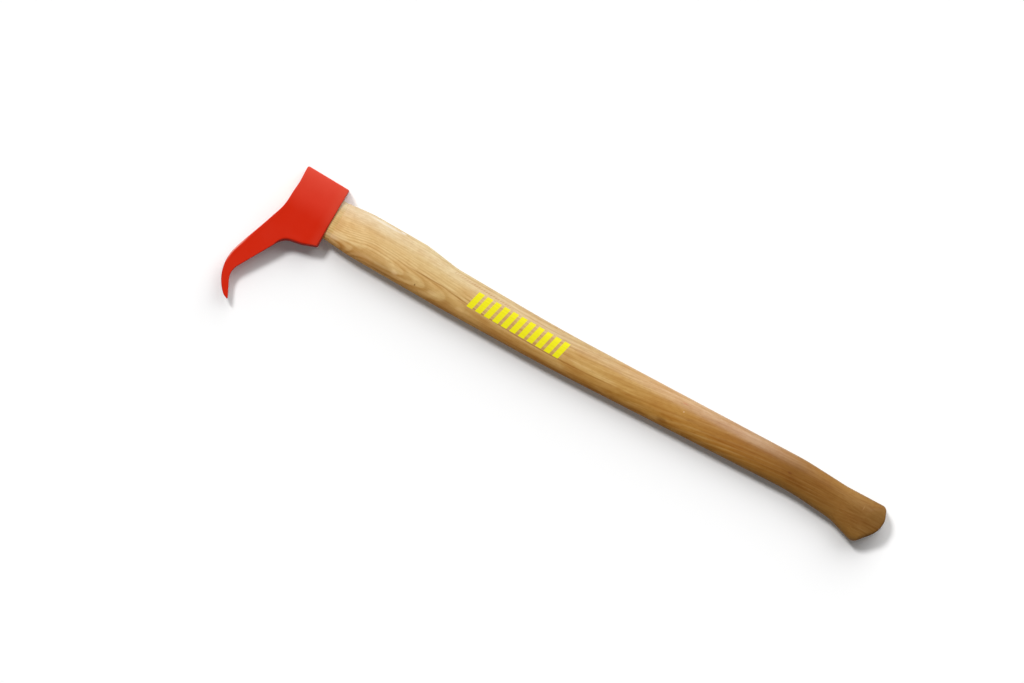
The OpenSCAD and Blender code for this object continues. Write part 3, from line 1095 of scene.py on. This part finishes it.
def grown(name, tree, shape, sizes):
    """Ends a tree, runs it on an empty piece with its sizes set, and keeps the result as a plain mesh."""
    real = shape.add("GeometryNodeRealizeInstances", None, {"Geometry": shape})
    shape.add("NodeGroupOutput", None, {"Geometry": real})
    piece = new_object(name, bpy.data.meshes.new(name))
    modifier = piece.modifiers.new(name, "NODES")
    modifier.node_group = tree
    for item in tree.interface.items_tree:
        if item.in_out == "INPUT" and item.name in sizes:
            modifier[item.identifier] = sizes[item.name][1]
    settle(piece)
    return piece


def make_ring_wedge(material):
    """The steel ring: a wall that thins towards its cutting edge, swept round a circle."""
    sizes = {
        "Outer Radius": ("NodeSocketFloat", RING_OUTER),
        "Wall": ("NodeSocketFloat", RING_WALL),
        "Edge": ("NodeSocketFloat", RING_EDGE),
        "Length": ("NodeSocketFloat", RING_LENGTH),
        "Chamfer": ("NodeSocketFloat", RING_CHAMFER),
    }
    tree, get = new_tree("ring_wedge_tree", sizes)
    wall = get["Wall"] / 2
    edge = get["Edge"] / 2
    middle = get["Outer Radius"] - wall
    corners = [(wall, 0.0), (edge, get["Length"]), (0.0 - edge, get["Length"]), (0.0 - wall, 0.0)]
    points = {f"Point {i + 1}": vector_of(wall, *corner) for i, corner in enumerate(corners)}
    profile = wall.add("GeometryNodeCurvePrimitiveQuadrilateral", {"mode": "POINTS"}, points)
    fillet = {"Curve": profile, "Radius": get["Chamfer"], "Count": CHAMFER_STEPS}
    soft = wall.add("GeometryNodeFilletCurve", {"mode": "POLY"}, fillet)
    circle = wall.add("GeometryNodeCurvePrimitiveCircle", None, {"Resolution": OVAL_SIDES, "Radius": middle})
    swept = wall.add("GeometryNodeCurveToMesh", None, {"Curve": circle, "Profile Curve": soft})
    move = {"Geometry": swept, "Translation": (END_X, 0, MIDDLE_Z), "Rotation": (0, math.pi / 2, 0)}
    placed = wall.add("GeometryNodeTransform", None, move)
    painted = wall.add("GeometryNodeSetMaterial", None, {"Geometry": placed, "Material": material})
    ring = grown("steel_ring_wedge", tree, painted, sizes)
    smooth_by_angle(ring, RING_CRISP)
    return ring


def bar_row(get):
    """A row of flat slanted bars at the mark's place along the handle."""
    pitch = get["Pitch"]
    first = FACE_X - MARK_AT + pitch * (get["Bars"] - 1) / 2
    begin = vector_of(pitch, first, MARK_Y)
    step = vector_of(pitch, 0.0 - pitch)
    line = {"Count": get["Bars"], "Start Location": begin, "Offset": step}
    row = pitch.add("GeometryNodeMeshLine", {"mode": "OFFSET"}, line)
    counts = {"Vertices X": BAR_COLUMNS, "Vertices Y": BAR_ROWS}
    bar = pitch.add("GeometryNodeMeshGrid", None, {"Size X": get["Width"], "Size Y": get["Height"], **counts})
    _, height, _ = parts_of(pitch.add("GeometryNodeInputPosition"))
    shear = vector_of(pitch, height * get["Slant"])
    slanted = pitch.add("GeometryNodeSetPosition", None, {"Geometry": bar, "Offset": shear})
    bars = pitch.add("GeometryNodeInstanceOnPoints", None, {"Points": row, "Instance": slanted})
    return pitch.add("GeometryNodeRealizeInstances", None, {"Geometry": bars})


def laid_on_handle(bars, get):
    """Bars dropped on the handle's upper side, with half of their film of ink above the wood."""
    wood = bars.add("GeometryNodeObjectInfo", {"transform_space": "ORIGINAL"}, {0: get["Handle"]}, "Geometry")
    here = bars.add("GeometryNodeInputPosition")
    over = here.add("ShaderNodeVectorMath", {"operation": "ADD"}, {0: here, 1: (0, 0, DROP_FROM)})
    ray = {"Source Position": over, "Ray Direction": (0, 0, -1), "Ray Length": DROP_REACH}
    hit = bars.add("GeometryNodeRaycast", None, {"Target Geometry": wood, **ray}, "Hit Position")
    sunk = vector_of(bars, z=0.0 - get["Film"])
    laid = bars.add("GeometryNodeSetPosition", None, {"Geometry": bars, "Position": hit, "Offset": sunk})
    growth = {"Mesh": laid, "Offset Scale": get["Film"] * 2, "Individual": False}
    raised = bars.add("GeometryNodeExtrudeMesh", None, growth)
    under = bars.add("GeometryNodeFlipFaces", None, {"Mesh": laid})
    both = bars.add("GeometryNodeJoinGeometry", None, {"Geometry": raised})
    bars.tree.links.new(under.socket, both.socket.node.inputs[0])
    return bars.add("GeometryNodeMergeByDistance", None, {"Geometry": both, "Distance": SAME_INK_POINT})


def make_mark(handle, material):
    """The row of slanted bars, laid as a thin film of ink on the handle's upper side."""
    sizes = {
        "Handle": ("NodeSocketObject", handle),
        "Bars": ("NodeSocketInt", BAR_COUNT),
        "Pitch": ("NodeSocketFloat", BAR_PITCH),
        "Width": ("NodeSocketFloat", BAR_WIDTH),
        "Height": ("NodeSocketFloat", BAR_HEIGHT),
        "Slant": ("NodeSocketFloat", BAR_SLANT),
        "Film": ("NodeSocketFloat", INK_FILM),
    }
    tree, get = new_tree("mark_tree", sizes)
    film = laid_on_handle(bar_row(get), get)
    painted = film.add("GeometryNodeSetMaterial", None, {"Geometry": film, "Material": material})
    return grown("yellow_mark", tree, painted, sizes)


# The set


def make_floor():
    """A wide floor just below the tool."""

    def fill(work):
        bmesh.ops.create_grid(work, x_segments=1, y_segments=1, size=FLOOR_REACH)
        bmesh.ops.translate(work, verts=work.verts, vec=(0, 0, -FLOOR_DROP))

    floor = new_object("floor", mesh_from("floor", fill))
    floor.data.materials.append(white_floor())


def make_lamp(name, tilt, bearing, spread, level):
    """A soft lamp far away: tilt from straight above, bearing clockwise from the picture's top, in degrees.
    Level is what it adds to the brightness of a white surface that faces up."""
    lamp = bpy.data.lights.new(name, "SUN")
    lamp.angle = math.radians(spread)
    lamp.energy = level * math.pi / math.cos(math.radians(tilt))
    holder = bpy.data.objects.new(name, lamp)
    bpy.context.scene.collection.objects.link(holder)
    towards = Matrix.Rotation(VIEW_TURN - math.radians(bearing), 3, "Z") @ Vector((0, 1, 0))
    source = towards * math.sin(math.radians(tilt)) + Vector((0, 0, math.cos(math.radians(tilt))))
    holder.rotation_euler = source.to_track_quat("Z", "Y").to_euler()


def make_world():
    """An even fill, in a room with pale walls and a darker ceiling."""
    world = bpy.data.worlds.new("room")
    bpy.context.scene.world = world
    world.use_nodes = True
    world.node_tree.nodes.clear()
    start = Wire(world.node_tree)
    _, _, up = parts_of(start.add("ShaderNodeTexCoord", out="Generated"))
    room = 1 - CEILING_DIMS * step_between(up, *CEILING_FROM)
    seen = seen_rays(start)
    strength = seen * room + (1 - seen) * ROOM_FILL
    light = start.add("ShaderNodeBackground", None, {"Color": grey(1), "Strength": strength})
    start.add("ShaderNodeOutputWorld", None, {"Surface": light})


def make_camera():
    """A long lens, straight above the tool."""
    camera = bpy.data.cameras.new("camera")
    camera.lens = LENS
    camera.sensor_width = SENSOR
    holder = bpy.data.objects.new("camera", camera)
    bpy.context.scene.collection.objects.link(holder)
    holder.location = (*VIEW_CENTRE, MIDDLE_Z + VIEW_WIDTH * LENS / SENSOR)
    holder.rotation_euler = (0, 0, VIEW_TURN)
    bpy.context.scene.camera = holder


def dress(piece, material, node):
    """Gives a piece its finish, lets it ride on the one body, and hides the CAD node that it stands for."""
    piece.data.materials.clear()
    piece.data.materials.append(material)
    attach(piece, "root")
    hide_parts(node)


head = make_head()
handle = make_handle()
dress(head, red_enamel(), "head")
dress(handle, lacquered_ash(), "handle")
steel = bare_steel()
dress(make_ring_wedge(steel), steel, "ring_wedge")
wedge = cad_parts["wooden_wedge"]
wedge.data.materials.clear()
wedge.data.materials.append(wedge_hardwood())
mark = make_mark(handle, yellow_ink())
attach(mark, "root")

make_floor()
make_world()
make_lamp("key", tilt=32, bearing=-28, spread=12, level=0.47)
make_lamp("softbox", tilt=50, bearing=30, spread=60, level=0.44)
make_camera()
bpy.context.scene.view_settings.view_transform = "Standard"
